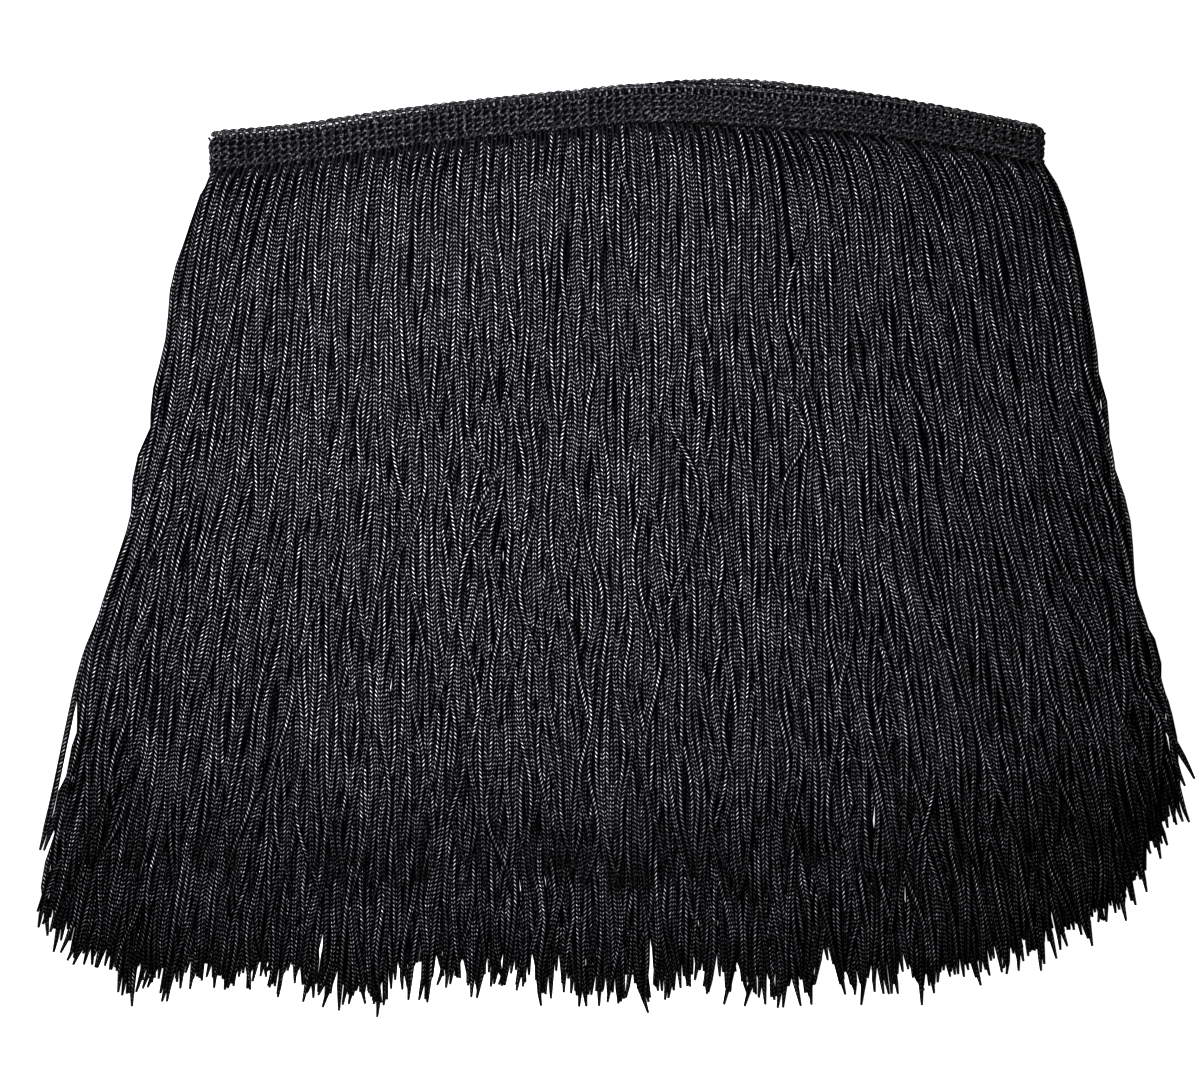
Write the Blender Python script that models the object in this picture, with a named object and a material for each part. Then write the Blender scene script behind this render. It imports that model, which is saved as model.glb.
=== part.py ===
"""A length of knitted-cord fringe trim, folded back and forth in four layers and laid flat.

Two pieces, both folded together: the heading, a narrow crocheted band, and the fringe, a comb of
cord bundles that hangs from the heading's lower edge. X runs along the heading, Y points from the
cut ends of the cords to the heading, and Z is up through the layers. Everything is in metres.
"""

import math
import random

import bmesh
import bpy

# The heading from fold to fold, and how its layers are stacked.
LEFT_FOLD = -0.1104
RIGHT_FOLD = 0.1304
LAYERS = 4
SHEET = 0.0018
LAYER_GAP = 0.0008
LAYER_PITCH = SHEET + LAYER_GAP
BEND_STEPS = 6
RUN_STEPS = 16

# The band itself, as wide as its rows of stitches, with softly rounded long edges.
BAND_WIDTH = 0.0112
EDGE_ROUND = 0.0005

# The lower edge of the band in each layer, above the middle of the trim, at places across it. The
# first layer lies lowest and the fourth on top.
FIRST = 1
BAND_LINE = (
    # across, first, second, third, fourth
    (-0.1104, 0.1062, 0.1056, 0.1056, 0.1070),
    (-0.0860, 0.1076, 0.1077, 0.1074, 0.1090),
    (-0.0590, 0.1114, 0.1118, 0.1112, 0.1131),
    (-0.0270, 0.1156, 0.1162, 0.1160, 0.1169),
    (-0.0050, 0.1176, 0.1181, 0.1179, 0.1189),
    (0.0170, 0.1198, 0.1205, 0.1212, 0.1209),
    (0.0450, 0.1198, 0.1208, 0.1222, 0.1196),
    (0.0820, 0.1170, 0.1175, 0.1178, 0.1169),
    (0.1090, 0.1128, 0.1129, 0.1130, 0.1127),
    (0.1304, 0.1082, 0.1082, 0.1084, 0.1084),
)

# The fringe: a thin spine along the band, and bundles of cords that fan out from it.
PIECE_GAP = 0.0003
SPINE_DEPTH = 0.0020
BUNDLES_PER_RUN = 12
BUNDLE_GAP = 0.0012
BUNDLE_STEPS = 7

# Cords near the folds bulge out just under the band, then lean outwards all the way down.
FAN_MIDDLE = 0.0060
LEFT_BULGE = 0.0090
RIGHT_BULGE = 0.0070
BULGE_DEPTH = 0.012
LEFT_LEAN = 0.215
RIGHT_LEAN = 0.165

# How far the bundles reach below the band, from the left fold (-1) to the right fold (1).
UNDER_REACH = 1
TOP_REACH = 2
REACH = (
    # side, layers underneath, top layer
    (-1.00, 0.212, 0.196),
    (-0.85, 0.232, 0.208),
    (-0.50, 0.242, 0.215),
    (0.00, 0.248, 0.220),
    (0.30, 0.253, 0.222),
    (0.60, 0.245, 0.215),
    (0.85, 0.220, 0.201),
    (1.00, 0.190, 0.182),
)
UNEVEN_ENDS = 0.006
UNEVEN_SEED = 11


def read_table(rows, column, place):
    """A smooth curve through one column of a table, read at a place along its first column."""
    index = 0
    while index < len(rows) - 2 and place > rows[index + 1][0]:
        index += 1
    start, end = rows[index], rows[index + 1]
    before, after = rows[max(index - 1, 0)], rows[min(index + 2, len(rows) - 1)]
    run = end[0] - start[0]
    t = min(max((place - start[0]) / run, 0.0), 1.0)
    start_slope = (end[column] - before[column]) / (end[0] - before[0]) * run
    end_slope = (after[column] - start[column]) / (after[0] - start[0]) * run
    return (
        (2 * t**3 - 3 * t**2 + 1) * start[column]
        + (t**3 - 2 * t**2 + t) * start_slope
        + (3 * t**2 - 2 * t**3) * end[column]
        + (t**3 - t**2) * end_slope
    )


def station(layer, across):
    """A place on a flat run: across, height, direction of the face, and the band's lower edge."""
    height = SHEET / 2 + layer * LAYER_PITCH
    facing = 1 if layer % 2 == 0 else -1
    return (across, height, 0.0, facing, read_table(BAND_LINE, FIRST + layer, across))


def bend_stations(layer):
    """The half circle that carries the trim from one layer up to the next."""
    outward = 1 if layer % 2 == 0 else -1
    fold = RIGHT_FOLD if outward > 0 else LEFT_FOLD
    radius = LAYER_PITCH / 2
    middle = SHEET / 2 + layer * LAYER_PITCH + radius
    edge = read_table(BAND_LINE, FIRST + layer, fold)
    bend = []
    for step in range(1, BEND_STEPS):
        angle = math.pi * step / BEND_STEPS
        across = fold + outward * (radius * math.sin(angle) - radius)
        height = middle - radius * math.cos(angle)
        bend.append((across, height, -math.sin(angle), outward * math.cos(angle), edge))
    return bend


def run_ends(layer):
    """Where a flat run starts and ends, in the order in which the trim is laid down."""
    inset = LAYER_PITCH / 2
    left = LEFT_FOLD + inset
    right = RIGHT_FOLD - inset
    return (left, right) if layer % 2 == 0 else (right, left)


def solid_from_cells(name, upper, lower, filled, material):
    """A closed sheet with two faces of points, walled in wherever a filled cell meets none."""
    mesh = bpy.data.meshes.new(name)
    shape = bmesh.new()
    corners = {}

    def vertex(side, column, row):
        key = (side, column, row)
        if key not in corners:
            corners[key] = shape.verts.new((upper if side else lower)[column][row])
        return corners[key]

    def wall(first, second):
        shape.faces.new(
            (vertex(1, *first), vertex(0, *first), vertex(0, *second), vertex(1, *second))
        )

    for column, row in sorted(filled):
        ring = ((column, row), (column + 1, row), (column + 1, row + 1), (column, row + 1))
        shape.faces.new([vertex(1, *corner) for corner in ring])
        shape.faces.new([vertex(0, *corner) for corner in reversed(ring)])
        neighbours = ((column, row - 1), (column + 1, row), (column, row + 1), (column - 1, row))
        for index, neighbour in enumerate(neighbours):
            if neighbour not in filled:
                wall(ring[index], ring[(index + 1) % 4])
    bmesh.ops.recalc_face_normals(shape, faces=shape.faces)
    bmesh.ops.triangulate(shape, faces=shape.faces)
    shape.to_mesh(mesh)
    shape.free()
    mesh.materials.append(material)
    piece = bpy.data.objects.new(name, mesh)
    bpy.context.scene.collection.objects.link(piece)
    return piece


def yarn(name, colour, roughness):
    """A dull dark yarn."""
    material = bpy.data.materials.new(name)
    material.use_nodes = True
    shader = material.node_tree.nodes["Principled BSDF"]
    shader.inputs["Base Color"].default_value = (*colour, 1.0)
    shader.inputs["Roughness"].default_value = roughness
    shader.inputs["Metallic"].default_value = 0.0
    return material


def offset_point(place, distance, along):
    """A point off the middle of the sheet, by a distance towards its face, at a height in Y."""
    across, height, face_x, face_z, _ = place
    return (across + face_x * distance, along, height + face_z * distance)


def make_heading():
    """The crocheted band: one long strip, folded into its layers."""
    stations = []
    for layer in range(LAYERS):
        start, end = run_ends(layer)
        for step in range(RUN_STEPS + 1):
            stations.append(station(layer, start + (end - start) * step / RUN_STEPS))
        if layer < LAYERS - 1:
            stations.extend(bend_stations(layer))
    rows = (
        (0.0, SHEET / 2 - EDGE_ROUND),
        (EDGE_ROUND, SHEET / 2),
        (BAND_WIDTH - EDGE_ROUND, SHEET / 2),
        (BAND_WIDTH, SHEET / 2 - EDGE_ROUND),
    )
    upper = [[offset_point(s, half, s[4] + rise) for rise, half in rows] for s in stations]
    lower = [[offset_point(s, -half, s[4] + rise) for rise, half in rows] for s in stations]
    cells = {(c, r) for c in range(len(stations) - 1) for r in range(len(rows) - 1)}
    return solid_from_cells("heading", upper, lower, cells, yarn("band_yarn", (0.02, 0.02, 0.022), 0.8))


def side_of(across):
    """How far a place is towards the left fold (-1) or the right fold (1)."""
    if across < FAN_MIDDLE:
        return (across - FAN_MIDDLE) / (FAN_MIDDLE - LEFT_FOLD)
    return (across - FAN_MIDDLE) / (RIGHT_FOLD - FAN_MIDDLE)


def fan_shift(across, drop):
    """How far a cord has moved sideways when it is this far below the band."""
    side = side_of(across)
    bulge, lean = (LEFT_BULGE, LEFT_LEAN) if side < 0 else (RIGHT_BULGE, RIGHT_LEAN)
    swell = bulge * side**5 * (1 - math.exp(-drop / BULGE_DEPTH))
    return swell + lean * side * drop


def fringe_columns():
    """Stations along the spine with their layer and uneven end, and the spaces open below it."""
    columns = []
    gaps = set()
    chance = random.Random(UNEVEN_SEED)
    uneven = 0.0
    for layer in range(LAYERS):
        start, end = run_ends(layer)
        pitch = (end - start) / BUNDLES_PER_RUN
        half_gap = math.copysign(BUNDLE_GAP / 2, pitch)
        for bundle in range(BUNDLES_PER_RUN):
            middle = start + pitch * bundle
            split = middle + pitch / 2
            for across in (middle, split - half_gap, split + half_gap):
                columns.append((station(layer, across), layer, uneven))
                uneven = chance.uniform(-UNEVEN_ENDS, UNEVEN_ENDS)
            gaps.add(len(columns) - 2)
        columns.append((station(layer, end), layer, uneven))
        if layer < LAYERS - 1:
            columns.extend((place, layer + 0.5, uneven) for place in bend_stations(layer))
    return columns, gaps


def reach_at(across, layer):
    """How far a bundle reaches: the top layer is the shortest, and joins the next at its fold."""
    side = side_of(across)
    under = read_table(REACH, UNDER_REACH, side)
    top = read_table(REACH, TOP_REACH, side)
    share = min(max(layer - (LAYERS - 2), 0.0), 1.0)
    return under + (top - under) * share


def make_fringe():
    """The comb of cord bundles, folded with the heading that it hangs from."""
    columns, gaps = fringe_columns()
    upper = []
    lower = []
    for place, layer, uneven in columns:
        across, _, _, _, edge = place
        reach = reach_at(across, layer) + uneven
        drops = [0.0]
        for step in range(BUNDLE_STEPS + 1):
            drops.append(SPINE_DEPTH + (reach - SPINE_DEPTH) * step / BUNDLE_STEPS)
        for face, half in ((upper, SHEET / 2), (lower, -SHEET / 2)):
            points = []
            for drop in drops:
                x, y, z = offset_point(place, half, edge - PIECE_GAP - drop)
                points.append((x + fan_shift(across, drop), y, z))
            face.append(points)
    cells = set()
    for column in range(len(columns) - 1):
        cells.add((column, 0))
        if column not in gaps:
            cells.update((column, row) for row in range(1, BUNDLE_STEPS + 1))
    return solid_from_cells("fringe", upper, lower, cells, yarn("cord_yarn", (0.012, 0.012, 0.016), 0.55))


def centre_on_base(pieces):
    """Moves the meshes so that the middle of the trim's outline, on its base, is the origin."""
    points = [vertex.co for piece in pieces for vertex in piece.data.vertices]
    low = [min(point[axis] for point in points) for axis in range(3)]
    high = [max(point[axis] for point in points) for axis in range(3)]
    for piece in pieces:
        for vertex in piece.data.vertices:
            vertex.co.x -= (low[0] + high[0]) / 2
            vertex.co.y -= (low[1] + high[1]) / 2
            vertex.co.z -= low[2]


for old in list(bpy.data.objects):
    bpy.data.objects.remove(old, do_unlink=True)

centre_on_base([make_heading(), make_fringe()])
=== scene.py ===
import math

import bmesh
import bpy
import numpy as np
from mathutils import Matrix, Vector
from mathutils.bvhtree import BVHTree


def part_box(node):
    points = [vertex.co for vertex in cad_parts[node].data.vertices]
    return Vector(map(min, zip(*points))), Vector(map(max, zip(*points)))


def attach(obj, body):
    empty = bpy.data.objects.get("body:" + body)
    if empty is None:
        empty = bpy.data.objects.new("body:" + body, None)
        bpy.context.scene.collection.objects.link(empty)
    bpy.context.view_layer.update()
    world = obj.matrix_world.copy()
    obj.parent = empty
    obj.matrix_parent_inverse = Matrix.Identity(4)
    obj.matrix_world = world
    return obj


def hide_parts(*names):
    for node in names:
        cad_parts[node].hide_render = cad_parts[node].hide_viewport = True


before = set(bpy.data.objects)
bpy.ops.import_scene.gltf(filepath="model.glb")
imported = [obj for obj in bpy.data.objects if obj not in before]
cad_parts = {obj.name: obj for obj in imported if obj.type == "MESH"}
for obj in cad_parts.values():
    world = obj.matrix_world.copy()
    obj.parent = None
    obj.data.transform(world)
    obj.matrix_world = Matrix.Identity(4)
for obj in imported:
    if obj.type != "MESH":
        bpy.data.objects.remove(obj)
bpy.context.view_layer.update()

# ---------------------------------------------------------------------------------------------
# The heading's ground: the narrow crocheted band's own cloth, one strip of fine weft yarn that
# runs the whole length of the trim. It is folded back and forth in four runs, one on the other,
# and everything else is stitched through it.
# ---------------------------------------------------------------------------------------------
RUNS = 4
BAND_THICKNESS = 0.0018
BEND_STEPS = 8

# The cloth stops below the row of openings, at this share of the band's height.
GROUND_SHARE = 0.84
GROUND_THICKNESS = 0.0002
GROUND_STEP = 0.0025
GROUND_ROWS = 5
RIB_PITCH = 0.0008
RIB_RELIEF = 0.0002
PIT_PITCH = 0.0020
PIT_DEPTH = 0.6
# The pit colour is painted shade: the ground darkens to it in its pits and rib troughs, and the
# heading's stitches darken to it on their sides.
PAINTED_SHADE_COLOUR = (0.0008, 0.0008, 0.0009)
GROUND_COLOUR = (0.005, 0.005, 0.0055)
GROUND_ROUGHNESS = 0.9

heading_low, heading_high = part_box("heading")
left_fold = heading_low.x + BAND_THICKNESS / 2
right_fold = heading_high.x - BAND_THICKNESS / 2
run_pitch = (heading_high.z - heading_low.z - BAND_THICKNESS) / (RUNS - 1)
bend_radius = run_pitch / 2


class Thread:
    """One node's output. Arithmetic on it adds the Math nodes that it needs."""

    def __init__(self, tree, output=None):
        self.tree = tree
        self.output = output

    def node(self, kind, settings=None, sockets=None, take=0):
        """Adds a node: its settings first, then the values or links of its sockets."""
        made = self.tree.nodes.new(kind)
        for name, value in (settings or {}).items():
            setattr(made, name, value)
        for key, value in (sockets or {}).items():
            if isinstance(value, Thread):
                self.tree.links.new(value.output, made.inputs[key])
            else:
                made.inputs[key].default_value = value
        return Thread(self.tree, made.outputs[take])

    def other(self, name):
        """Another output of the same node."""
        return Thread(self.tree, self.output.node.outputs[name])

    def math(self, operation, *values):
        """A Math node with this value first."""
        sockets = dict(enumerate((self, *values)))
        return self.node("ShaderNodeMath", {"operation": operation}, sockets)

    def __add__(self, value):
        return self.math("ADD", value)

    def __radd__(self, value):
        return self.math("ADD", value)

    def __sub__(self, value):
        return self.math("SUBTRACT", value)

    def __rsub__(self, value):
        return self.node("ShaderNodeMath", {"operation": "SUBTRACT"}, {0: value, 1: self})

    def __mul__(self, value):
        return self.math("MULTIPLY", value)

    def __rmul__(self, value):
        return self.math("MULTIPLY", value)

    def rise(self, low, high):
        """A smooth rise from 0 to 1 as this value goes from low to high."""
        ends = {"Value": self, "From Min": low, "From Max": high}
        return self.node("ShaderNodeMapRange", {"interpolation_type": "SMOOTHSTEP"}, ends)

    def blend(self, dark, light):
        """The colour between two colours, by this value."""
        sockets = {0: self, 6: dark, 7: light}
        return self.node("ShaderNodeMix", {"data_type": "RGBA"}, sockets, 2)


def new_material(name):
    """A material with a Principled shader, and a thread to build its pattern on."""
    material = bpy.data.materials.new(name)
    material.use_nodes = True
    shader = material.node_tree.nodes["Principled BSDF"]
    return material, shader, Thread(material.node_tree)


def rgb(colour):
    """A colour with its alpha."""
    return (*colour, 1.0)


def mesh_object(name, vertices, edges=(), faces=()):
    """A new object in the scene, with its place in its mesh."""
    mesh = bpy.data.meshes.new(name)
    mesh.from_pydata([tuple(v) for v in vertices], [tuple(e) for e in edges], [tuple(f) for f in faces])
    piece = bpy.data.objects.new(name, mesh)
    bpy.context.scene.collection.objects.link(piece)
    return piece


def solid_of(node):
    """A CAD node's faces, ready to be measured with level lines."""
    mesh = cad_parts[node].data
    return BVHTree.FromPolygons([v.co for v in mesh.vertices], [p.vertices for p in mesh.polygons])


def edge_of(solid, across, height, side=-1):
    """The lower edge (-1) or upper edge (1) of a CAD node in a level slice, at a place across."""
    place, _, _, _ = solid.ray_cast(Vector((across, side, height)), Vector((0.0, -side, 0.0)))
    return place.y if place else math.nan


def run_height(run):
    """The height of a run's middle."""
    return BAND_THICKNESS / 2 + run * run_pitch


heading_solid = solid_of("heading")
band_head = edge_of(heading_solid, 0.0, run_height(0), 1)
band_height = band_head - edge_of(heading_solid, 0.0, run_height(0))


def band_foot(run, across):
    """The band's lower edge in one run."""
    across = min(max(across, left_fold + bend_radius), right_fold - bend_radius)
    return edge_of(heading_solid, across, run_height(run))


def folded_line(step):
    """The band's lower edge from the first cut end to the last, as a row of points."""
    points = []
    for run in range(RUNS):
        ahead = 1 if run % 2 == 0 else -1
        ends = (left_fold + bend_radius, right_fold - bend_radius)[::ahead]
        count = round(abs(ends[1] - ends[0]) / step)
        for across in np.linspace(ends[0], ends[1], count + 1):
            points.append((across, band_foot(run, across), run_height(run)))
        if run < RUNS - 1:
            foot = band_foot(run, ends[1])
            next_foot = band_foot(run + 1, ends[1])
            for bend in range(1, BEND_STEPS):
                angle = math.pi * bend / BEND_STEPS
                across = ends[1] + ahead * bend_radius * math.sin(angle)
                height = run_height(run) + bend_radius * (1 - math.cos(angle))
                share = bend / BEND_STEPS
                points.append((across, foot + (next_foot - foot) * share, height))
    return np.array(points)


def add_uv(mesh, name, values):
    """A UV map from one pair of numbers for each vertex."""
    layer = mesh.uv_layers.new(name=name)
    indices = np.zeros(len(mesh.loops), np.int32)
    mesh.loops.foreach_get("vertex_index", indices)
    layer.data.foreach_set("uv", np.asarray(values, np.float32)[indices].ravel())


def make_ground():
    """The strip itself, with the length along the trim and the height up the band as its UVs."""
    foot = folded_line(GROUND_STEP)
    length = np.concatenate([[0.0], np.cumsum(np.linalg.norm(np.diff(foot, axis=0), axis=1))])
    rises = np.linspace(0.0, band_height * GROUND_SHARE, GROUND_ROWS)
    vertices = [point + np.array((0.0, rise, 0.0)) for point in foot for rise in rises]
    uvs = [(along, rise) for along in length for rise in rises]
    faces = []
    for column in range(len(foot) - 1):
        for row in range(GROUND_ROWS - 1):
            corner = column * GROUND_ROWS + row
            faces.append((corner, corner + GROUND_ROWS, corner + GROUND_ROWS + 1, corner + 1))
    strip = mesh_object("band_ground", vertices, faces=faces)
    add_uv(strip.data, "length_and_height", uvs)
    strip.data.shade_smooth()
    body = strip.modifiers.new("cloth", "SOLIDIFY")
    body.thickness = GROUND_THICKNESS
    body.offset = 0.0
    return strip


def ground_finish():
    """Dull weft yarn, packed between the chains, with pits where it turns back; its colour is painted
    darker in the pits and the rib troughs, as shade.
    """
    material, shader, start = new_material("weft_yarn")
    place = start.node("ShaderNodeUVMap", {"uv_map": "length_and_height"})
    parts = start.node("ShaderNodeSeparateXYZ", sockets={0: place})
    ribs = (parts * (2 * math.pi / RIB_PITCH)).math("SINE") * 0.5 + 0.5
    pits = (parts.other("Y") * (2 * math.pi / PIT_PITCH)).math("SINE") * 0.5 + 0.5
    # The ribs and pits shape the relief, and also paint shade into the colour, darker in the troughs
    # and the pits.
    weft = ribs * (pits * PIT_DEPTH + (1 - PIT_DEPTH))
    colour = weft.blend(rgb(PAINTED_SHADE_COLOUR), rgb(GROUND_COLOUR))
    material.node_tree.links.new(colour.output, shader.inputs["Base Color"])
    relief = {"Height": weft, "Distance": RIB_RELIEF, "Strength": 0.8}
    bump = start.node("ShaderNodeBump", sockets=relief)
    material.node_tree.links.new(bump.output, shader.inputs["Normal"])
    shader.inputs["Roughness"].default_value = GROUND_ROUGHNESS
    shader.inputs["Specular IOR Level"].default_value = 0.0
    return material


ground = make_ground()
ground.data.materials.append(ground_finish())

# ---------------------------------------------------------------------------------------------
# The heading's stitches: rows of crocheted chain in dull yarn along the band, held together by weft
# threads that climb in and out of them. Short posts carry a thick chain that closes the upper edge,
# and leave a row of small openings under it.
# ---------------------------------------------------------------------------------------------
COLUMNS = 94
UNEVENNESS = 0.00008
STITCH_SEED = 3
GUIDE_STEP = 0.001
THIN_SIDES = 5
THICK_SIDES = 6

# The chains. The foot and the spacing of the rows are shares of the band's height.
CHAIN_ROWS = 5
CHAIN_FOOT = 0.078
CHAIN_SPACING = 0.163
CHAIN_HALF_LENGTH = 0.00130
CHAIN_HALF_WIDTH = 0.00068
CHAIN_YARN = 0.00036
CHAIN_TILT = 0.00030
CHAIN_SLANT = math.radians(-30)
CHAIN_POINTS = 9
CHAIN_TAPER = 0.35

# The wefts. Where they start and how far they climb are shares of the band's height.
WEFT_FOOT = 0.02
WEFT_CLIMB = 0.86
WEFT_SWING = 0.00025
WEFT_DEPTH = 0.00030
WEFT_YARN = 0.00032

# The posts, closer together than the chain's stitches, and the edge that they carry. The edge
# rounds down towards each fold, and the posts stop short of that corner.
POST_PITCH = 0.75
POST_RISES = (0.82, 0.89, 0.965)
POST_YARN = 0.00060
EDGE_RISE = 0.990
EDGE_HALF_WIDTH = 0.00036
EDGE_SCALLOP = 0.00028
EDGE_YARN = 0.00046
CORNER = 0.0022

# The yarn's colour holds a painted highlight where its turns stand up and where its fluff catches the
# light, and painted shade on the turns' sides.
FLUFF_SCALE = 1300.0
FLUFF_RELIEF = 0.0001
STITCH_SHADE = 0.12
STITCH_HIGHLIGHT_COLOUR = (0.34, 0.34, 0.37)
STITCH_ROUGHNESS = 0.6

run_length = right_fold - left_fold
stitch = run_length / COLUMNS


def yarn_ring(name, line, thickness, sides, closed):
    """A short length of yarn as a tube, used again and again as one stitch."""
    line = np.asarray(line)
    count = len(line)
    ahead = np.roll(line, -1, axis=0) - np.roll(line, 1, axis=0)
    if not closed:
        ahead[0] = line[1] - line[0]
        ahead[-1] = line[-1] - line[-2]
    ahead /= np.linalg.norm(ahead, axis=1)[:, None]
    side = np.cross(ahead, (0.0, 0.0, 1.0))
    side /= np.linalg.norm(side, axis=1)[:, None]
    over = np.cross(side, ahead)
    vertices = []
    crown = []
    for index in range(count):
        for turn in range(sides):
            angle = 2 * math.pi * turn / sides
            ring = over[index] * math.cos(angle) + side[index] * math.sin(angle)
            vertices.append(line[index] + ring * thickness)
            # How far each point faces up or down: the heading's material paints a highlight there and
            # shade on the sides.
            crown.append(abs(ring[2]))
    faces = []
    for index in range(count if closed else count - 1):
        nearer = index * sides
        further = (index + 1) % count * sides
        for turn in range(sides):
            after = (turn + 1) % sides
            faces.append((nearer + turn, nearer + after, further + after, further + turn))
    if not closed:
        faces.append(tuple(reversed(range(sides))))
        faces.append(tuple(range((count - 1) * sides, count * sides)))
    piece = mesh_object(name, vertices, faces=faces)
    shape = bmesh.new()
    shape.from_mesh(piece.data)
    bmesh.ops.recalc_face_normals(shape, faces=shape.faces)
    shape.to_mesh(piece.data)
    shape.free()
    attribute = piece.data.attributes.new("crown", "FLOAT", "POINT")
    attribute.data.foreach_set("value", np.asarray(crown, np.float32))
    return piece


def chain_line(half_length, half_width, slant, scallop):
    """One chain stitch: a drop-shaped loop that lies over the one before it."""
    line = []
    for step in range(CHAIN_POINTS):
        angle = 2 * math.pi * step / CHAIN_POINTS
        reach = math.cos(angle)
        width = math.sin(angle) * (1.0 + CHAIN_TAPER * reach)
        along = half_length * reach
        aside = half_width * width
        ahead = along * math.cos(slant) - aside * math.sin(slant)
        rise = along * math.sin(slant) + aside * math.cos(slant) + scallop * (1 - reach * reach)
        line.append((ahead, rise, CHAIN_TILT * reach))
    return line


def weft_line():
    """One weft thread: it passes from face to face as it climbs the band between two loops."""
    line = []
    count = 2 * CHAIN_ROWS + 3
    for step in range(count):
        climb = band_height * (WEFT_FOOT + WEFT_CLIMB * step / (count - 1))
        swing = stitch / 2 + WEFT_SWING * (1 if step % 4 < 2 else -1)
        depth = WEFT_DEPTH * (1 if step % 2 else -1)
        line.append((swing, climb, depth))
    return line


def new_tree(name, inputs):
    """A geometry tree with named inputs, and the thread of its first one, the geometry."""
    tree = bpy.data.node_groups.new(name, "GeometryNodeTree")
    tree.interface.new_socket("Geometry", in_out="INPUT", socket_type="NodeSocketGeometry")
    for label, kind in inputs:
        tree.interface.new_socket(label, in_out="INPUT", socket_type=kind)
    tree.interface.new_socket("Geometry", in_out="OUTPUT", socket_type="NodeSocketGeometry")
    return tree, Thread(tree).node("NodeGroupInput")


def close_tree(shape, finish):
    """Ends a tree: the instances made real, shaded smooth, with their material."""
    real = shape.node("GeometryNodeRealizeInstances", sockets={"Geometry": shape})
    smooth = real.node("GeometryNodeSetShadeSmooth", sockets={"Geometry": real})
    done = smooth.node("GeometryNodeSetMaterial", sockets={"Geometry": smooth, "Material": finish})
    output = done.tree.nodes.new("NodeGroupOutput")
    done.tree.links.new(done.output, output.inputs["Geometry"])


def grow(name, guide, tree, values):
    """Runs a tree on a guide and keeps its result as a plain mesh, in place of the guide."""
    modifier = guide.modifiers.new(name, "NODES")
    modifier.node_group = tree
    for item in tree.interface.items_tree:
        if item.in_out == "INPUT" and item.name in values:
            modifier[item.identifier] = values[item.name]
    depsgraph = bpy.context.evaluated_depsgraph_get()
    mesh = bpy.data.meshes.new_from_object(guide.evaluated_get(depsgraph), depsgraph=depsgraph)
    mesh.name = name
    guide.modifiers.remove(modifier)
    piece = bpy.data.objects.new(name, mesh)
    bpy.context.scene.collection.objects.link(piece)
    return piece


def stitch_tree():
    """Puts a stitch at every pitch along a line, in rows, turned to the band's face."""
    inputs = (
        ("Stitch", "NodeSocketObject"),
        ("Pitch", "NodeSocketFloat"),
        ("Rows", "NodeSocketInt"),
        ("Foot", "NodeSocketFloat"),
        ("Spacing", "NodeSocketFloat"),
        ("Unevenness", "NodeSocketFloat"),
        ("Seed", "NodeSocketInt"),
        ("Finish", "NodeSocketMaterial"),
    )
    tree, given = new_tree("stitch_rows", inputs)
    line = given.node("GeometryNodeMeshToCurve", sockets={0: given})
    spots = line.node(
        "GeometryNodeCurveToPoints",
        {"mode": "LENGTH"},
        {"Curve": line, "Length": given.other("Pitch")},
    )
    rows = spots.node(
        "GeometryNodeDuplicateElements",
        {"domain": "POINT"},
        {"Geometry": spots, "Amount": given.other("Rows")},
    )
    row = rows.other("Duplicate Index")
    jitter = rows.node(
        "FunctionNodeRandomValue",
        {"data_type": "FLOAT_VECTOR"},
        {0: (-1.0, -1.0, -1.0), 1: (1.0, 1.0, 1.0), "Seed": given.other("Seed")},
    )
    shake = jitter.node(
        "ShaderNodeVectorMath", {"operation": "SCALE"}, {0: jitter, "Scale": given.other("Unevenness")}
    )
    climb = row * given.other("Spacing") + given.other("Foot")
    lift = climb.node("ShaderNodeCombineXYZ", sockets={"Y": climb})
    offset = lift.node("ShaderNodeVectorMath", {"operation": "ADD"}, {0: lift, 1: shake})
    placed = rows.node("GeometryNodeSetPosition", sockets={"Geometry": rows, "Offset": offset})
    tangent = spots.other("Tangent")
    face = tangent.node(
        "ShaderNodeVectorMath", {"operation": "CROSS_PRODUCT"}, {0: tangent, 1: (0.0, 1.0, 0.0)}
    )
    turn = face.node(
        "FunctionNodeAxesToRotation",
        {"primary_axis": "Z", "secondary_axis": "X"},
        {"Primary Axis": face, "Secondary Axis": tangent},
    )
    one = given.node(
        "GeometryNodeObjectInfo", sockets={"Object": given.other("Stitch")}, take="Geometry"
    )
    sewn = placed.node(
        "GeometryNodeInstanceOnPoints", sockets={"Points": placed, "Instance": one, "Rotation": turn}
    )
    close_tree(sewn, given.other("Finish"))
    return tree


def stitch_finish():
    """The heading's yarn: dull and a little fluffy, with a painted highlight on the crown of each turn
    of yarn and painted shade on its sides.
    """
    material, shader, start = new_material("heading_yarn")
    place = start.node("ShaderNodeTexCoord", take="Object")
    crown = start.node("ShaderNodeAttribute", {"attribute_name": "crown"}, take="Fac")
    cloud = {"Vector": place, "Scale": FLUFF_SCALE, "Detail": 2.0}
    fluff = start.node("ShaderNodeTexNoise", sockets=cloud)
    # Painted highlight on the crown of each turn and on the fluff, painted shade on the sides.
    tone = crown.math("POWER", 4.0) * (fluff.rise(0.45, 0.70).math("POWER", 1.5) + STITCH_SHADE)
    colour = tone.blend(rgb(PAINTED_SHADE_COLOUR), rgb(STITCH_HIGHLIGHT_COLOUR))
    material.node_tree.links.new(colour.output, shader.inputs["Base Color"])
    relief = {"Height": fluff, "Distance": FLUFF_RELIEF, "Strength": 0.5}
    bump = start.node("ShaderNodeBump", sockets=relief)
    material.node_tree.links.new(bump.output, shader.inputs["Normal"])
    shader.inputs["Roughness"].default_value = STITCH_ROUGHNESS
    shader.inputs["Specular IOR Level"].default_value = 0.0
    return material


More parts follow.
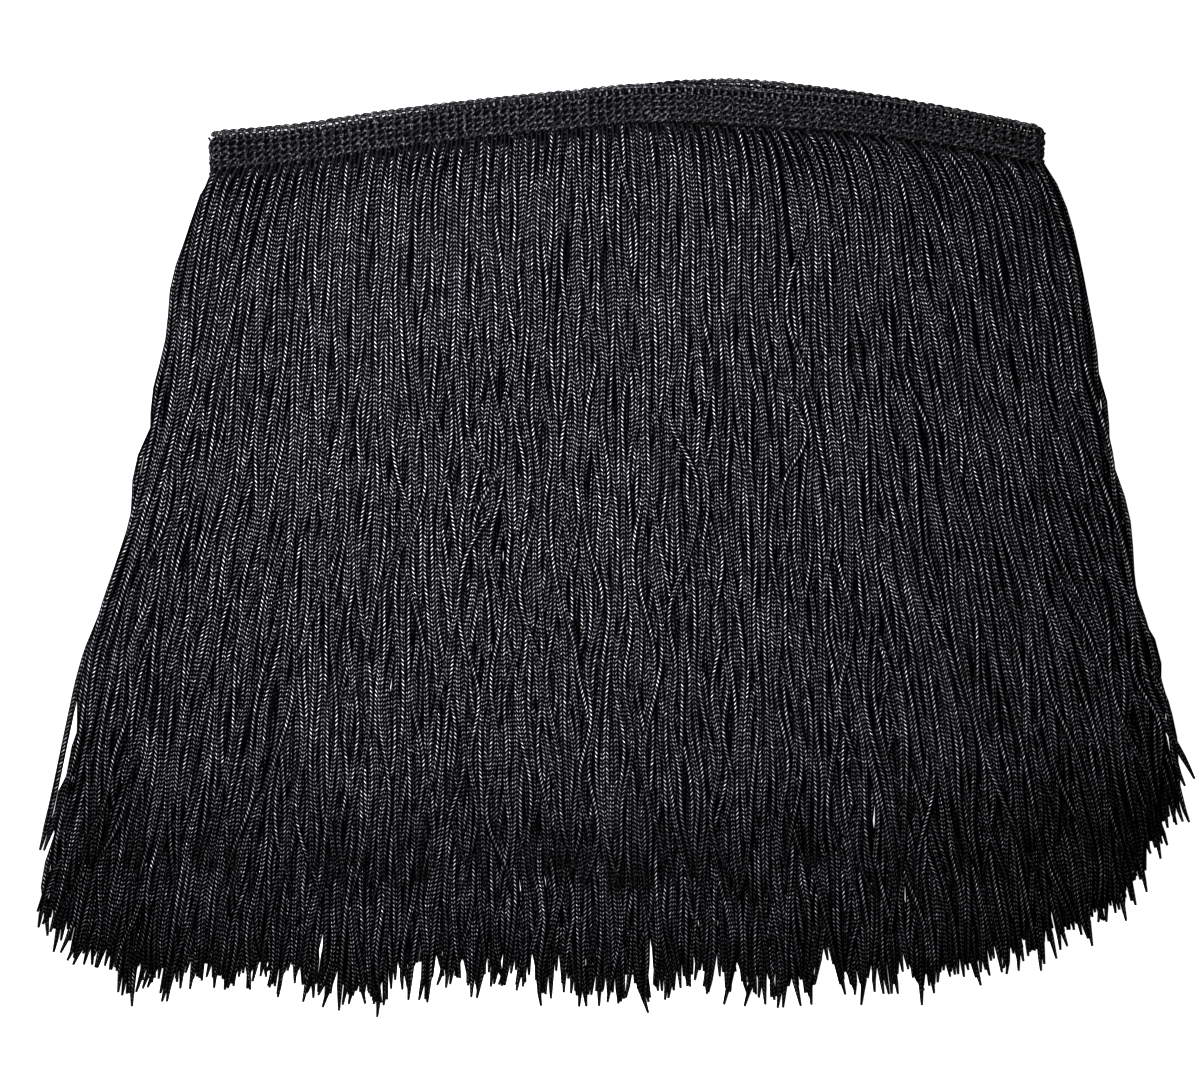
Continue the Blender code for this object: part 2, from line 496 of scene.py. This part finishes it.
def edge_rise(points):
    """How high the upper edge stands above the foot: rounded off towards both folds."""
    near = np.minimum(points[:, 0] - left_fold, right_fold - points[:, 0])
    corner = np.clip(1 - near / CORNER, 0, 1)
    return band_height * EDGE_RISE - CORNER * (1 - np.sqrt(1 - corner**2))


def line_guide(name, points, inset=0.0):
    """A line of points as a mesh, for a tree to work on. An inset leaves out what is near a fold."""
    inside = (points[:, 0] >= left_fold + inset) & (points[:, 0] <= right_fold - inset)
    edges = [(i, i + 1) for i in range(len(points) - 1) if inside[i] and inside[i + 1]]
    return mesh_object(name, points, edges=edges)


foot_points = folded_line(GUIDE_STEP)
edge_points = foot_points.copy()
edge_points[:, 1] += edge_rise(foot_points)
foot_guide = line_guide("foot_guide", foot_points)
post_guide = line_guide("post_guide", foot_points, CORNER)
edge_guide = line_guide("edge_guide", edge_points)
heading_yarn = stitch_finish()
rows_tree = stitch_tree()
chain_loop = chain_line(CHAIN_HALF_LENGTH, CHAIN_HALF_WIDTH, CHAIN_SLANT, 0.0)
edge_loop = chain_line(CHAIN_HALF_LENGTH, EDGE_HALF_WIDTH, 0.0, EDGE_SCALLOP)
post_line = [(0.0, band_height * rise, 0.0) for rise in POST_RISES]
chain = yarn_ring("chain_stitch", chain_loop, CHAIN_YARN, THIN_SIDES, True)
weft = yarn_ring("weft_thread", weft_line(), WEFT_YARN, THIN_SIDES, False)
post = yarn_ring("edge_post", post_line, POST_YARN, THICK_SIDES, False)
edge = yarn_ring("edge_stitch", edge_loop, EDGE_YARN, THICK_SIDES, True)

STITCHES = (
    # name, guide, stitch, pitch, rows, foot, spacing
    ("band_chains", foot_guide, chain, stitch, CHAIN_ROWS, CHAIN_FOOT, CHAIN_SPACING),
    ("band_wefts", foot_guide, weft, stitch, 1, 0.0, 0.0),
    ("band_posts", post_guide, post, stitch * POST_PITCH, 1, 0.0, 0.0),
    ("band_edge", edge_guide, edge, stitch, 1, 0.0, 0.0),
)

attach(ground, "root")
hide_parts("heading")
for number, (name, guide, pattern, pitch, rows, foot, spacing) in enumerate(STITCHES):
    values = {
        "Stitch": pattern,
        "Pitch": pitch,
        "Rows": rows,
        "Foot": foot * band_height,
        "Spacing": spacing * band_height,
        "Unevenness": UNEVENNESS,
        "Seed": STITCH_SEED + number,
        "Finish": heading_yarn,
    }
    piece = grow(name, guide, rows_tree, values)
    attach(piece, "root")
    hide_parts("heading")
for spare in (foot_guide, post_guide, edge_guide, chain, weft, post, edge):
    bpy.data.objects.remove(spare, do_unlink=True)

# ---------------------------------------------------------------------------------------------
# The fringe: soft cords knitted from dark, silky yarn, two from every stitch of the heading and
# caught under its lowest chain. They lie one on another in their four runs, fan out from the
# heading, draw together in locks and splay at their cut ends.
# ---------------------------------------------------------------------------------------------
CORD_WIDTH = 0.0018
CORD_STEP = 0.0036
CORD_LENGTH = 0.262
FRINGE_SEED = 8

# Each run's first stitch, shifted by a share of a stitch, and how its pairs leave the heading.
RUN_OFFSET = (0.3, -0.25, 0.5, 0.0)
ROOT_RISE = 0.0006
ROOT_UNEVENNESS = 0.00012
PAIR_SPREAD = 1.3
PAIR_DEPTH = 0.02
PAIR_RISE = 0.00055

# The fan: cords bulge out just under the band, then lean more and more, down to a depth.
FAN_MIDDLE = 0.0060
BULGE_DEPTH = 0.014
LEAN_START = 0.42
LEAN_GROWTH = 4.2
LEAN_DEPTH = 0.145
BULGE = 1
LEAN = 2
UNDER_LEAN = 3
FAN = (
    # side, bulge, lean on top, lean underneath
    (-1.00, -0.0068, -0.193, -0.193),
    (-0.85, -0.0045, -0.165, -0.168),
    (-0.70, -0.0032, -0.070, -0.140),
    (-0.50, -0.0040, -0.025, -0.100),
    (-0.26, -0.0022, -0.005, -0.050),
    (0.00, 0.0000, 0.005, 0.000),
    (0.28, 0.0045, 0.010, 0.050),
    (0.44, 0.0068, 0.080, 0.080),
    (0.60, 0.0085, 0.145, 0.110),
    (0.80, 0.0090, 0.190, 0.140),
    (1.00, 0.0070, 0.160, 0.165),
)

# Locks that neighbours share, stronger in the upper runs, and each cord's own sway.
LOCK_WIDTHS = (0.0055, 0.0070, 0.0095, 0.0130, 0.0190, 0.0280, 0.0420)
LOCK_STRENGTH = (0.010, 0.014, 0.020, 0.036)
LOCK_LENGTHS = (0.10, 0.45)
LOCK_DEPTH = 0.045
SWAY = 0.0008
SWAYS = 3
SWAY_LENGTHS = (0.03, 0.11)

# A few cords of the top run stray over their neighbours: where, over what length and how far.
STRAYS = 14
STRAY_INSET = 16
STRAY_MIDDLES = (0.03, 0.20)
STRAY_REACHES = (0.010, 0.022)
STRAY_SHIFTS = (0.003, 0.008)
STRAY_LIFT = 0.004

# The hem, uneven from cord to cord, and how far the cut ends splay in each run.
HEM_STEP = 0.001
HEM_REACH = 3
HEM_SHIFT = 0.0002
HEM_SPREAD = 0.0021
SPLAY_LENGTH = 0.050
SPLAY = (0.0024, 0.0026, 0.0030, 0.0045)
SPLAY_LIMIT = 1.4
LEAST_DROP = 0.3

# How the cords settle: soft outside a core, pushing more easily upwards than aside.
CORD_CORE = 0.0016
SETTLE_ROUNDS = 150
SINK = 0.00005
STIFF_ASIDE = 0.45
STIFF_UPWARDS = 0.40
NEIGHBOURS = 8
PUSH = 0.25
PUSH_LIMIT = 0.25
SIDE_SLIP = 0.25
FAR_ASIDE = 9.0

chance = np.random.default_rng(FRINGE_SEED)


def side_of(across):
    """How far a place is towards the left fold (-1) or the right fold (1)."""
    low = (across - FAN_MIDDLE) / (FAN_MIDDLE - left_fold)
    high = (across - FAN_MIDDLE) / (right_fold - FAN_MIDDLE)
    return np.where(across < FAN_MIDDLE, low, high)


def fan(column, across):
    """One column of the fan's table at places across."""
    table = np.array(FAN)
    return np.interp(side_of(across), table[:, 0], table[:, column])


def lie_of_cords(run):
    """How one run's cords would lie if they didn't touch: roots, across, height, leg of the pair."""
    across = np.repeat(left_fold + (np.arange(COLUMNS) + 0.5 + RUN_OFFSET[run]) * stitch, 2)
    leg = np.tile((-1.0, 1.0), COLUMNS)
    count = len(across)
    across = across + chance.uniform(-ROOT_UNEVENNESS, ROOT_UNEVENNESS, count)
    depth = np.arange(0.0, CORD_LENGTH, CORD_STEP)[:, None]
    come = 1 - np.exp(-depth / BULGE_DEPTH)
    lean = fan(LEAN if run == RUNS - 1 else UNDER_LEAN, across)
    slant = LEAN_START + LEAN_GROWTH * np.minimum(depth, LEAN_DEPTH)
    x = across + fan(BULGE, across) * come + lean * depth * slant
    x = x + leg * stitch / 4 * (1 - np.exp(-depth / PAIR_DEPTH)) * PAIR_SPREAD
    grip = 1 - np.exp(-depth / LOCK_DEPTH)
    for width in LOCK_WIDTHS:
        length = chance.uniform(*LOCK_LENGTHS) * chance.choice((-1, 1))
        phase = chance.uniform(0, 2 * math.pi)
        wave = np.sin(2 * math.pi * (across / width + depth / length) + phase)
        x = x + grip * LOCK_STRENGTH[run] * width * wave
    for _ in range(SWAYS):
        length = chance.uniform(*SWAY_LENGTHS, count)
        phase = chance.uniform(0, 2 * math.pi, count)
        x = x + grip * SWAY * np.sin(2 * math.pi * depth / length + phase)
    z = np.tile(np.maximum(run_height(run) + leg * PAIR_RISE, CORD_WIDTH / 2), (len(depth), 1))
    if run == RUNS - 1:
        inner = np.arange(STRAY_INSET + 1, count - STRAY_INSET, 2)
        for cord in chance.choice(inner, STRAYS, replace=False):
            middle = chance.uniform(*STRAY_MIDDLES)
            reach = chance.uniform(*STRAY_REACHES)
            away = np.exp(-(((depth[:, 0] - middle) / reach) ** 2))
            x[:, cord] += chance.uniform(*STRAY_SHIFTS) * chance.choice((-1, 1)) * away
            z[:, cord] += STRAY_LIFT * away
    return across, x, z, leg


def hem_line(run):
    """How far down the solid fringe reaches in one run, carried across the gaps in its comb."""
    low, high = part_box("fringe")
    fringe_solid = solid_of("fringe")
    places = np.arange(low.x + HEM_STEP, high.x - HEM_STEP, HEM_STEP)
    height = run_height(run)
    reach = np.array([edge_of(fringe_solid, place, height) for place in places])
    reach = np.where(np.isnan(reach), 0.0, reach)
    starts = [max(0, i - HEM_REACH) for i in range(len(reach))]
    spread = np.array([reach[start : i + HEM_REACH + 1].min() for i, start in enumerate(starts)])
    return places, spread


def settle(x, z, there, rounds):
    """Lets the cords push each other aside and sink until they lie on each other."""
    rest = x.copy()
    for _ in range(rounds):
        z[1:] -= SINK
        shift = x - rest
        shift[1:-1] += STIFF_ASIDE * ((shift[:-2] + shift[2:]) / 2 - shift[1:-1])
        x = rest + shift
        z[1:-1] += STIFF_UPWARDS * ((z[:-2] + z[2:]) / 2 - z[1:-1])
        order = np.argsort(np.where(there, x, FAR_ASIDE), axis=1)
        xs = np.take_along_axis(x, order, 1)
        zs = np.take_along_axis(z, order, 1)
        live = np.take_along_axis(there, order, 1)
        push_x = np.zeros_like(xs)
        push_z = np.zeros_like(zs)
        for near in range(1, NEIGHBOURS + 1):
            dx = xs[:, near:] - xs[:, :-near]
            dz = zs[:, near:] - zs[:, :-near]
            gap = np.sqrt(dx * dx + dz * dz) + 1e-9
            press = np.clip(CORD_CORE - gap, 0, None) / gap * PUSH
            press = press * live[:, near:] * live[:, :-near]
            push_x[:, near:] += dx * press
            push_x[:, :-near] -= dx * press
            push_z[:, near:] += dz * press
            push_z[:, :-near] -= dz * press
        limit = CORD_CORE * PUSH_LIMIT
        xs += np.clip(push_x * SIDE_SLIP, -limit, limit)
        zs += np.clip(push_z, -limit, limit)
        start_x, start_z = x[0].copy(), z[0].copy()
        np.put_along_axis(x, order, xs, 1)
        np.put_along_axis(z, order, zs, 1)
        z = np.maximum(z, CORD_WIDTH / 2)
        x[0], z[0] = start_x, start_z
    return x, z


def fall_of_cords(x, foot):
    """The Y of every point: even steps along each cord, less what they take to lean aside."""
    steps = np.diff(x, axis=0)
    down = np.sqrt(np.clip(CORD_STEP**2 - steps**2, (LEAST_DROP * CORD_STEP) ** 2, None))
    return foot + ROOT_RISE - np.concatenate([np.zeros((1, len(foot))), np.cumsum(down, axis=0)])


def lay_cords():
    """All the cords' centre lines, settled together, as rows of points with a column a cord."""
    lies = [lie_of_cords(run) for run in range(RUNS)]
    roots = np.concatenate([lie[0] for lie in lies])
    x = np.concatenate([lie[1] for lie in lies], axis=1)
    z = np.concatenate([lie[2] for lie in lies], axis=1)
    leg = np.concatenate([lie[3] for lie in lies])
    run_of = np.repeat(np.arange(RUNS), 2 * COLUMNS)
    foot = np.array([band_foot(run, place) for run, place in zip(run_of, roots)])
    y = fall_of_cords(x, foot)
    there = np.ones_like(x, bool)
    hems = [hem_line(run) for run in range(RUNS)]
    uneven = chance.normal(HEM_SHIFT, HEM_SPREAD, len(roots))
    for cord in range(len(roots)):
        run = run_of[cord]
        hem = np.interp(x[:, cord], *hems[run])
        there[:, cord] = y[:, cord] > hem + uneven[cord]
        gone = np.argmax(~there[:, cord]) if not there[:, cord].all() else len(y)
        there[gone:, cord] = False
        past = (np.arange(len(y)) - (gone - SPLAY_LENGTH / CORD_STEP)) * CORD_STEP
        splay = np.clip(past, 0, None)
        aside = np.clip(chance.normal(), -SPLAY_LIMIT, SPLAY_LIMIT) * SPLAY[run]
        x[:, cord] += aside * (splay / SPLAY_LENGTH) ** 2
    x, z = settle(x, z, there, SETTLE_ROUNDS)
    return x, fall_of_cords(x, foot), z, there, run_of, leg


def cord_tree():
    """Knits a cord round every line: a closed tube that keeps the turn round it for the stitches."""
    inputs = (
        ("Width", "NodeSocketFloat"),
        ("Sides", "NodeSocketInt"),
        ("Finish", "NodeSocketMaterial"),
    )
    tree, given = new_tree("knitted_cords", inputs)
    line = given.node("GeometryNodeMeshToCurve", sockets={0: given})
    wide = line.node(
        "GeometryNodeCurvePrimitiveCircle",
        {"mode": "RADIUS"},
        {"Resolution": given.other("Sides"), "Radius": given.other("Width") * 0.5},
    )
    place = wide.node("GeometryNodeInputPosition")
    unit = place.node("ShaderNodeVectorMath", {"operation": "NORMALIZE"}, {0: place})
    marked = wide.node(
        "GeometryNodeStoreNamedAttribute",
        {"data_type": "FLOAT_VECTOR", "domain": "POINT"},
        {"Geometry": wide, "Name": "turn", "Value": unit},
    )
    upright = line.node("GeometryNodeSetCurveNormal", {"mode": "Z_UP"}, {"Curve": line})
    stout = line.node("GeometryNodeInputNamedAttribute", {"data_type": "FLOAT"}, {"Name": "stoutness"})
    tube = upright.node(
        "GeometryNodeCurveToMesh",
        sockets={"Curve": upright, "Profile Curve": marked, "Scale": stout, "Fill Caps": True},
    )
    close_tree(tube, given.other("Finish"))
    return tree


# The knit: two columns of V-shaped stitches round each cord, whose legs carry painted glints one by
# one.
STITCH_PITCH = 0.00120
STITCH_SLOPE = 2.2
WALES = 2.0
CORD_TWIST = 5.0
TWIST_START = 7.0
RUNG_START = 3.0
WALE_SHIFT = 30.0
GLINT_SEED = 997.0
GLINT = 0.80
GLINT_FLOOR = 0.22
NECK_SHEEN = 0.05
SIDE_SHEEN = 0.02
STITCH_RELIEF = 0.00022
METAL_SHARE = 0.9
# The dark colour is the yarn's own and its painted shade; the light one is the colour of the painted
# glints and sheen.
CORD_DARK = (0.0008, 0.0008, 0.0011)
CORD_GLINT_COLOUR = (0.91, 0.89, 1.0)
CORD_ROUGHNESS = 0.40


def cord_finish():
    """Silky knitted yarn: dark, with small slanting stitches whose glints are painted into its colour
    one by one, beside painted shade on its sides and where it is covered.
    """
    material, shader, start = new_material("cord_yarn")
    turn = start.node("ShaderNodeAttribute", {"attribute_name": "turn"}, take="Vector")
    along = start.node("ShaderNodeAttribute", {"attribute_name": "along"}, take="Fac")
    cord = start.node("ShaderNodeAttribute", {"attribute_name": "cord"}, take="Fac")
    # Painted shade: darker where other cords cover this one and towards its cut end.
    painted_cover_shade = start.node("ShaderNodeAttribute", {"attribute_name": "open"}, take="Fac")
    axes = start.node("ShaderNodeSeparateXYZ", sockets={0: turn})
    angle = axes.other("Y").math("ARCTAN2", axes) * (1 / (2 * math.pi))
    wale = (angle + cord * TWIST_START + along * CORD_TWIST) * WALES + WALE_SHIFT
    inside = wale.math("FRACT") - 0.5
    out = inside.math("ABSOLUTE")
    rung = along * (1 / STITCH_PITCH) + out * STITCH_SLOPE + cord * RUNG_START
    hump = ((rung.math("FRACT") - 0.5) * 2.0).math("ABSOLUTE")
    leg = ((out - 0.25) * 4.0).math("ABSOLUTE")
    # The stitch legs: the relief, and where the painted glints sit.
    knit = (1.0 - hump.rise(0.08, 0.55)) * (1.0 - leg.rise(0.40, 0.90))
    seed = start.node(
        "ShaderNodeCombineXYZ",
        sockets={0: rung.math("FLOOR"), 1: (wale * 2.0).math("FLOOR"), 2: cord * GLINT_SEED},
    )
    spark = start.node("ShaderNodeTexWhiteNoise", {"noise_dimensions": "3D"}, {"Vector": seed})
    neck = (along - cord * 0.003).rise(-0.001, 0.004)
    # Painted shade: the cord's sides darker than its top and underside, down to SIDE_SHEEN.
    side = axes.other("Y").math("ABSOLUTE").rise(0.50, 1.0) * (1 - SIDE_SHEEN) + SIDE_SHEEN
    # Painted sheen: two light lines along the edges of each cord's neck, where its stitches have not
    # begun.
    neck_edge_sheen = axes.math("ABSOLUTE").rise(0.45, 0.85) * (1.0 - neck) * NECK_SHEEN
    # Painted glint: a random brightness for each leg of each stitch.
    glint = spark.math("POWER", 1.5) * GLINT + GLINT_FLOOR
    # All the painted light and shade of the cords' colour, which also drives Metallic.
    painted_light = (knit * neck * side * glint + neck_edge_sheen) * painted_cover_shade
    colour = painted_light.blend(rgb(CORD_DARK), rgb(CORD_GLINT_COLOUR))
    material.node_tree.links.new(colour.output, shader.inputs["Base Color"])
    metal = painted_light.rise(0.0, 0.10) * METAL_SHARE
    material.node_tree.links.new(metal.output, shader.inputs["Metallic"])
    relief = {"Height": knit * neck, "Distance": STITCH_RELIEF, "Strength": 0.7}
    bump = start.node("ShaderNodeBump", sockets=relief)
    material.node_tree.links.new(bump.output, shader.inputs["Normal"])
    shader.inputs["Roughness"].default_value = CORD_ROUGHNESS
    shader.inputs["Specular IOR Level"].default_value = 0.0
    return material


# A cord is covered by any that lies this near, in widths, and this much higher or lower. Each one on
# both sides of it leaves a share of the light, and the cords' colour is darkened by that share as
# painted shade.
COVER_SHARE = 0.45
COVER_GAP = 0.0002
BURIED = 0.22


def openness(x, z, there):
    """How open each point of each cord lies: 1 on the pile's upper or under face, less inside."""
    shade = np.ones_like(x)
    for row in range(len(x)):
        near = np.abs(x[row][:, None] - x[row][None, :]) < CORD_WIDTH * COVER_SHARE
        near &= there[row][None, :]
        higher = z[row][None, :] > z[row][:, None] + COVER_GAP
        above = (near & higher).sum(axis=1)
        lower = z[row][None, :] < z[row][:, None] - COVER_GAP
        below = (near & lower).sum(axis=1)
        shade[row] = BURIED ** np.minimum(above, below)
    shade[1:-1] = (shade[:-2] + 2 * shade[1:-1] + shade[2:]) / 4
    return shade


x, y, z, there, run_of, leg = lay_cords()
open_to_light = openness(x, z, there)

# Each cord's own number is spread evenly from 0 to 1. Its cut end is thinner, and painted shade darkens
# it.
EVEN_SPREAD = 0.6180339
TIP_LENGTH = 0.0075
TIP_WIDTH = 0.40
TIP_SHADE = 0.030
TIP_LIGHT = 0.25


def cord_guide(name, chosen, thin):
    """Lines for the chosen cords as one mesh, with each point's length and the cord's number."""
    vertices = []
    edges = []
    along = []
    number = []
    shade = []
    stoutness = []
    for cord in chosen:
        count = int(there[:, cord].sum())
        picks = list(range(0, count, thin))
        if picks[-1] != count - 1:
            picks.append(count - 1)
        first = len(vertices)
        vertices.extend((x[i, cord], y[i, cord], z[i, cord]) for i in picks)
        edges.extend((first + i, first + i + 1) for i in range(len(picks) - 1))
        along.extend(i * CORD_STEP for i in picks)
        number.extend([(cord * EVEN_SPREAD) % 1.0] * len(picks))
        left = [(count - 1 - i) * CORD_STEP for i in picks]
        # Painted shade towards the cut end: the share of light falls to TIP_LIGHT at the tip.
        dim = [TIP_LIGHT + (1 - TIP_LIGHT) * min(1.0, rest / TIP_SHADE) for rest in left]
        shade.extend(open_to_light[i, cord] * share for i, share in zip(picks, dim))
        stoutness.extend(TIP_WIDTH + (1 - TIP_WIDTH) * min(1.0, rest / TIP_LENGTH) for rest in left)
    guide = mesh_object(name, vertices, edges=edges)
    marks = {"along": along, "cord": number, "open": shade, "stoutness": stoutness}
    for label, values in marks.items():
        attribute = guide.data.attributes.new(label, "FLOAT", "POINT")
        attribute.data.foreach_set("value", np.asarray(values, np.float32))
    return guide


CORD_PIECES = (
    # name, run, leg of the pair (0 for both), sides, points stepped over
    ("cords_first_run", 0, 0, 6, 2),
    ("cords_second_run", 1, 0, 6, 2),
    ("cords_third_run", 2, 0, 6, 2),
    ("cords_top_run_back", 3, -1, 8, 1),
    ("cords_top_run_front", 3, 1, 8, 1),
)
cord_knit = cord_tree()
cord_yarn = cord_finish()
for name, run, which, sides, thin in CORD_PIECES:
    chosen = np.flatnonzero((run_of == run) & ((leg == which) | (which == 0)))
    guide = cord_guide("cord_guide", chosen, thin)
    piece = grow(name, guide, cord_knit, {"Width": CORD_WIDTH, "Sides": sides, "Finish": cord_yarn})
    bpy.data.objects.remove(guide, do_unlink=True)
    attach(piece, "root")
    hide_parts("fringe")

# ---------------------------------------------------------------------------------------------
# What it lies on, the light and the camera: a plain pale floor that glows a little, so that no
# shadow darkens it, soft light from above and a camera that looks straight down.
# ---------------------------------------------------------------------------------------------
FLOOR_HALF = 3.0
FLOOR_CORNERS = ((-1, -1), (1, -1), (1, 1), (-1, 1))
PAPER_COLOUR = (0.95, 0.95, 0.95)
PAPER_ROUGHNESS = 0.9
PAPER_GLOW = 1.0
WHITE = (1.0, 1.0, 1.0)
ROOM_LIGHT = 0.12
LAMP_SIZE = (0.12, 0.22)
LAMP_PLACE = (-0.035, 0.045, 0.23)
LAMP_POWER = 1.9
VIEW_WIDTH = 0.348
VIEW_ASIDE = -0.0078
VIEW_DROP = 0.1318
CAMERA_HEIGHT = 1.6
SENSOR_WIDTH = 36.0
NEAREST_SEEN = 0.05
FURTHEST_SEEN = 20.0
VIEW_GAMMA = 0.8

floor_points = [(FLOOR_HALF * aside, FLOOR_HALF * ahead, 0.0) for aside, ahead in FLOOR_CORNERS]
floor = mesh_object("floor", floor_points, faces=[(0, 1, 2, 3)])
paper, paper_shader, _ = new_material("white_paper")
paper_shader.inputs["Base Color"].default_value = rgb(PAPER_COLOUR)
paper_shader.inputs["Roughness"].default_value = PAPER_ROUGHNESS
paper_shader.inputs["Emission Color"].default_value = rgb(WHITE)
paper_shader.inputs["Emission Strength"].default_value = PAPER_GLOW
floor.data.materials.append(paper)

world = bpy.data.worlds.new("room")
bpy.context.scene.world = world
world.use_nodes = True
background = world.node_tree.nodes["Background"]
background.inputs["Color"].default_value = rgb(WHITE)
background.inputs["Strength"].default_value = ROOM_LIGHT

lamp = bpy.data.lights.new("lamp", "AREA")
lamp.shape = "RECTANGLE"
lamp.size, lamp.size_y = LAMP_SIZE
lamp.energy = LAMP_POWER
lamp_holder = bpy.data.objects.new("lamp", lamp)
bpy.context.scene.collection.objects.link(lamp_holder)
lamp_holder.location = LAMP_PLACE
lamp_holder.visible_camera = False

lens = bpy.data.cameras.new("camera")
lens.sensor_width = SENSOR_WIDTH
lens.lens = SENSOR_WIDTH * (CAMERA_HEIGHT - heading_high.z) / VIEW_WIDTH
lens.clip_start = NEAREST_SEEN
lens.clip_end = FURTHEST_SEEN
camera = bpy.data.objects.new("camera", lens)
bpy.context.scene.collection.objects.link(camera)
heading_middle = (heading_low.x + heading_high.x) / 2
camera.location = (heading_middle + VIEW_ASIDE, heading_high.y - VIEW_DROP, CAMERA_HEIGHT)
bpy.context.scene.camera = camera
bpy.context.scene.view_settings.view_transform = "Standard"
bpy.context.scene.view_settings.gamma = VIEW_GAMMA
